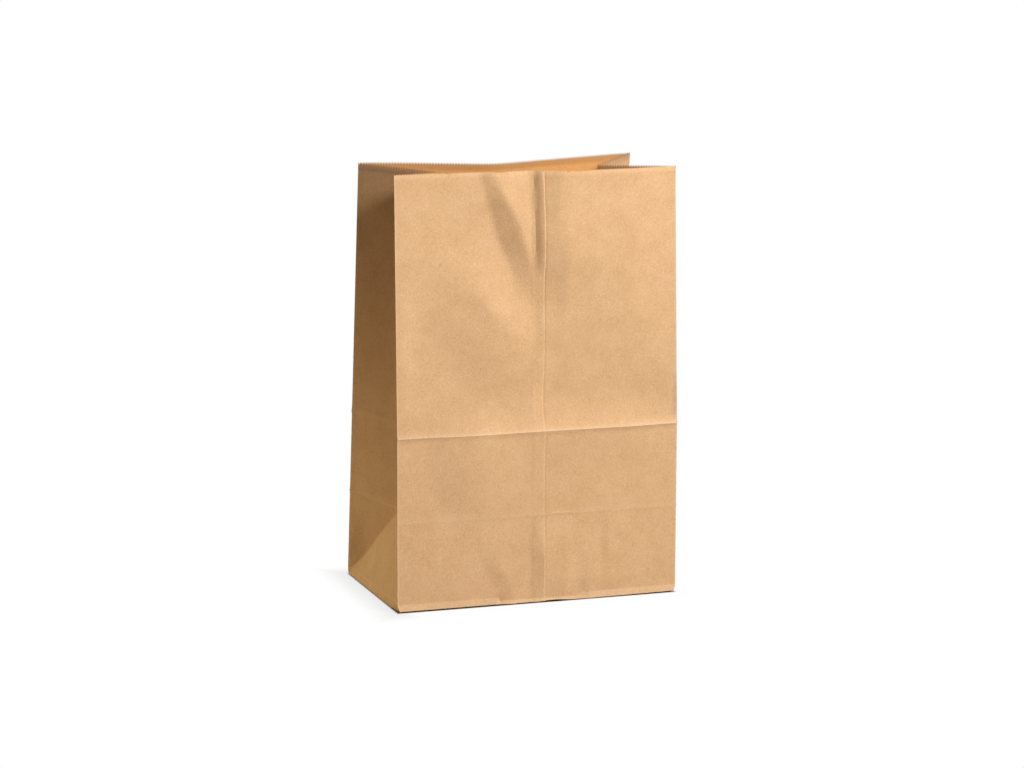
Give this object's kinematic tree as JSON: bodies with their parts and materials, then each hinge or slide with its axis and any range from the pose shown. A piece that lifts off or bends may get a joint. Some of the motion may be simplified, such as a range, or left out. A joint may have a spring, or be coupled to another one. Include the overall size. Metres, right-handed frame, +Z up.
{
  "type": "brown paper bag",
  "caption": "Open brown kraft paper bag with a flat folded block bottom, side gussets creased inwards, a lap seam up the front and a pinked mouth.",
  "frame": {"origin": "centre of the bag's outline at its foot, on the plane it stands on", "axes": "+X across the front panel, +Y from the seam panel to the back panel, +Z up to the mouth"},
  "size_m": [0.305, 0.1776, 0.448],
  "materials": {
    "kraft_paper": "matte unbleached kraft"
  },
  "bodies": {
    "root": {"paper_bag": "kraft_paper"}
  },
  "joints": []
}
